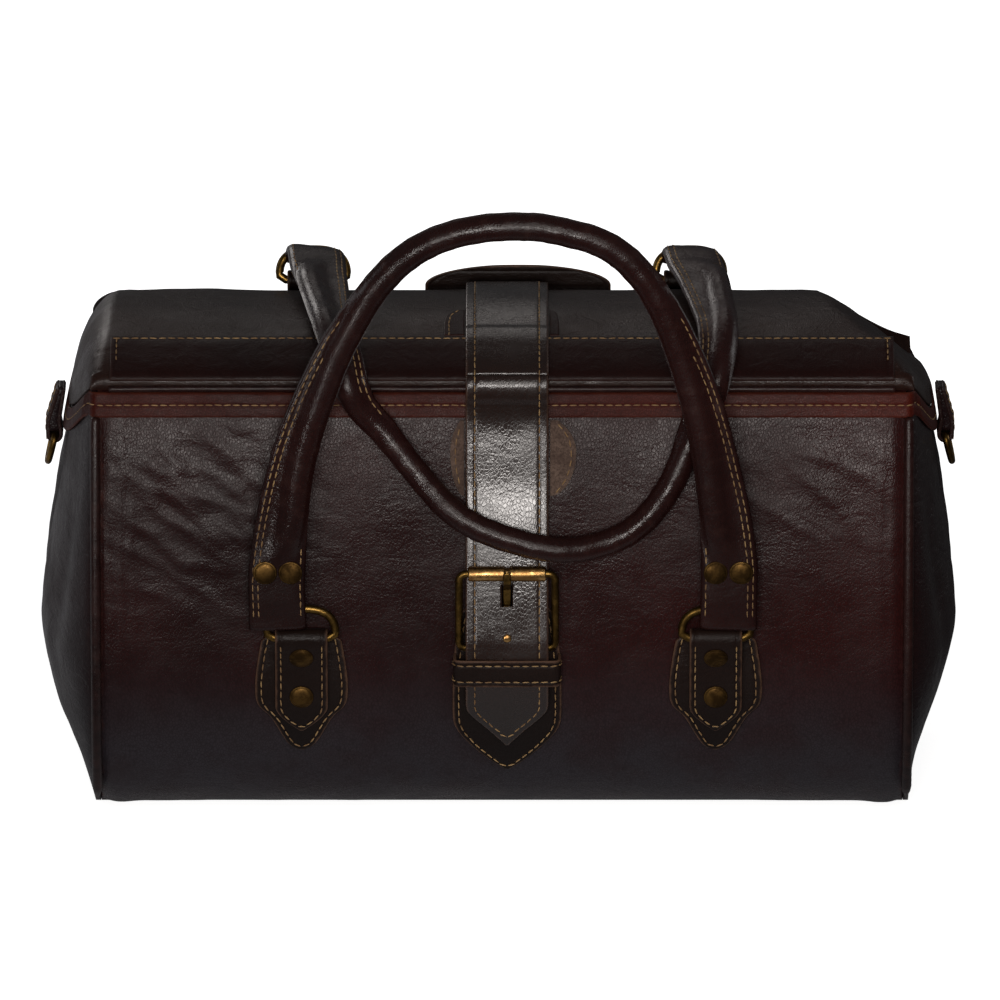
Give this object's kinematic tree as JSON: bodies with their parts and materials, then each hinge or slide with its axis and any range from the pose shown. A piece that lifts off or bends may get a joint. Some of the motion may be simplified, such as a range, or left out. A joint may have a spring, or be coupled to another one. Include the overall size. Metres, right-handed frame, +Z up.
{
  "type": "travel bag",
  "caption": "Framed leather travel bag of the doctor's-bag kind with a hinged lid, a buckled closing strap, rolled handles on D-rings and bulging ends.",
  "frame": {"origin": "middle of the flat bottom, on the surface that the bag stands on", "axes": "+X to the right seen from the front, along the bag's length; the front with the buckle faces -Y; +Z up"},
  "size_m": [0.4573, 0.2182, 0.3306],
  "materials": {
    "leather": "glossy grained, almost black oxblood",
    "band": "satin, red-brown",
    "suede": "matte flesh side",
    "lining": "matte woven",
    "board": "matte fibre board",
    "brass": "aged, worn bright on the edges",
    "steel": "satin"
  },
  "bodies": {
    "bag": {"base_board": "board", "buckle_chape": "leather", "buckle_patch": "leather", "front_chape_left": "leather", "front_chape_right": "leather", "front_chape_rivet_left_1": "brass", "front_chape_rivet_left_2": "brass", "front_chape_rivet_right_1": "brass", "front_chape_rivet_right_2": "brass", "front_patch_left": "leather", "front_patch_right": "leather", "gusset_left": "leather", "gusset_right": "leather", "hinge_roll": "leather", "keeper_loop": "leather", "lining": "lining", "mouth_frame": "steel", "piping_back_left": "leather", "piping_back_right": "leather", "piping_front_left": "leather", "piping_front_right": "leather", "rim_band": "band", "side_chape_left": "leather", "side_chape_right": "leather", "strap_guard_left": "suede", "strap_guard_right": "suede", "wrap_panel": "leather"},
    "lid": {"lid_band": "leather", "lid_ear_left": "leather", "lid_ear_right": "leather", "lid_frame": "steel", "lid_lining": "lining", "lid_panel": "leather", "lid_piping": "leather", "rear_chape_left": "leather", "rear_chape_right": "leather", "rear_tab": "leather", "strap_top": "leather"},
    "strap": {"strap_stud": "brass", "strap_tail": "leather"},
    "buckle": {"buckle_frame": "brass"},
    "roller": {"buckle_roller": "brass"},
    "tongue": {"buckle_tongue": "brass"},
    "front_handle": {"front_handle": "leather", "front_handle_rivet_left_1": "brass", "front_handle_rivet_left_2": "brass", "front_handle_rivet_right_1": "brass", "front_handle_rivet_right_2": "brass", "front_ring_left": "brass", "front_ring_right": "brass"},
    "rear_handle": {"rear_handle": "leather", "rear_ring_left": "brass", "rear_ring_right": "brass"},
    "side_ring_left": {"side_ring_left": "brass"},
    "side_ring_right": {"side_ring_right": "brass"}
  },
  "joints": [
    {"name": "lid_open", "type": "hinge", "parent": "bag", "child": "lid", "pos_m": [0, 0.056, 0.224], "axis": [-1, 0, 0], "range_deg": [0, 105]},
    {"name": "strap_hang", "type": "hinge", "parent": "lid", "child": "strap", "pos_m": [0, -0.08557, 0.226], "axis": [-1, 0, 0], "range_deg": [-88, 0], "deforming": ["strap_tail", "strap_stud"]},
    {"name": "front_handle_swing", "type": "hinge", "parent": "bag", "child": "front_handle", "pos_m": [0, -0.10778, 0.10833], "axis": [1, 0, 0], "range_deg": [0, 100]},
    {"name": "rear_handle_swing", "type": "hinge", "parent": "lid", "child": "rear_handle", "pos_m": [0, 0.05343, 0.23972], "axis": [1, 0, 0], "range_deg": [-120, 0], "deforming": ["rear_handle"]},
    {"name": "buckle_tilt", "type": "hinge", "parent": "bag", "child": "buckle", "pos_m": [0.0025, -0.10636, 0.10258], "axis": [1, 0, 0], "range_deg": [0, 40]},
    {"name": "tongue_lift", "type": "hinge", "parent": "buckle", "child": "tongue", "pos_m": [0.0025, -0.10636, 0.10258], "axis": [1, 0, 0], "range_deg": [0, 55]},
    {"name": "roller_spin", "type": "hinge", "parent": "buckle", "child": "roller", "pos_m": [0.0025, -0.11011, 0.14293], "axis": [1, 0, 0], "continuous": true},
    {"name": "side_ring_left_swing", "type": "hinge", "parent": "bag", "child": "side_ring_left", "pos_m": [-0.22327, 0, 0.1785], "axis": [0, 1, 0], "range_deg": [0, 90]},
    {"name": "side_ring_right_swing", "type": "hinge", "parent": "bag", "child": "side_ring_right", "pos_m": [0.22131, 0, 0.1785], "axis": [0, -1, 0], "range_deg": [0, 90]}
  ],
  "couplings": [
    {"joint": "strap_hang", "follows": "lid_open", "ratio": -0.83}
  ]
}
